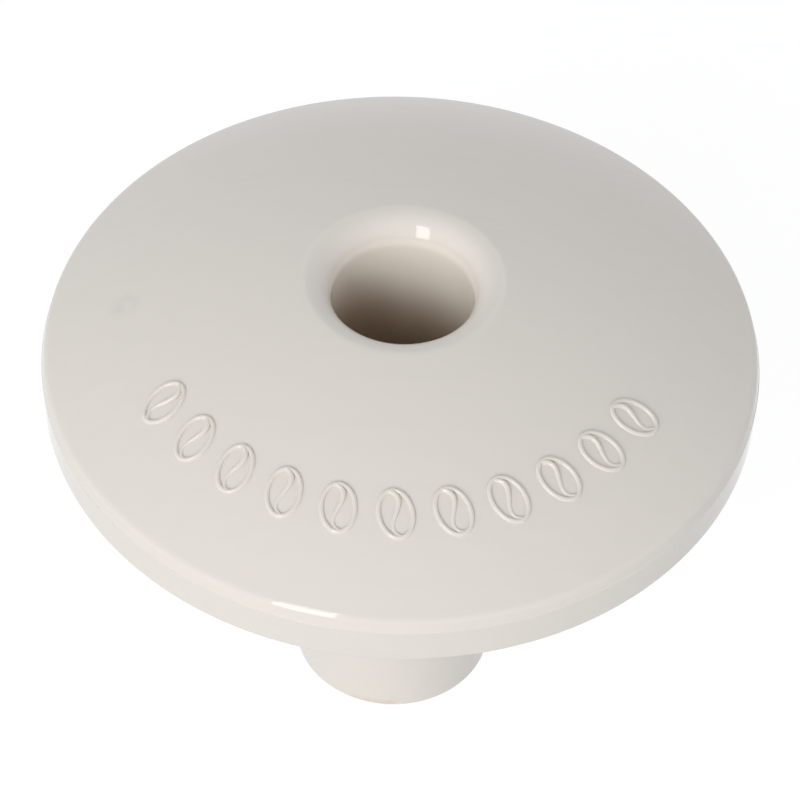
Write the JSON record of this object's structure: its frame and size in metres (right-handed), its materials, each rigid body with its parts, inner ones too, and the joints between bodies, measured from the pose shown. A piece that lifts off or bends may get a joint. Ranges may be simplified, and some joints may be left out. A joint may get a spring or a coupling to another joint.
{
  "type": "coffee grinder finger guard",
  "caption": "Round domed plastic cap on a hollow central stem that keeps fingers out of a bean grinder's throat, open along its axis for an adjusting key.",
  "frame": {"origin": "centre of the stem's foot, on the surface that the part stands on", "axes": "+Z along the stem's bore, up to the domed cap; X and Y lie in the plane of the foot, and the part is the same all round"},
  "size_m": [0.065, 0.065, 0.0499],
  "materials": {
    "guard_plastic": "glossy warm white moulded plastic"
  },
  "bodies": {
    "root": {"finger_guard": "guard_plastic"}
  },
  "joints": []
}
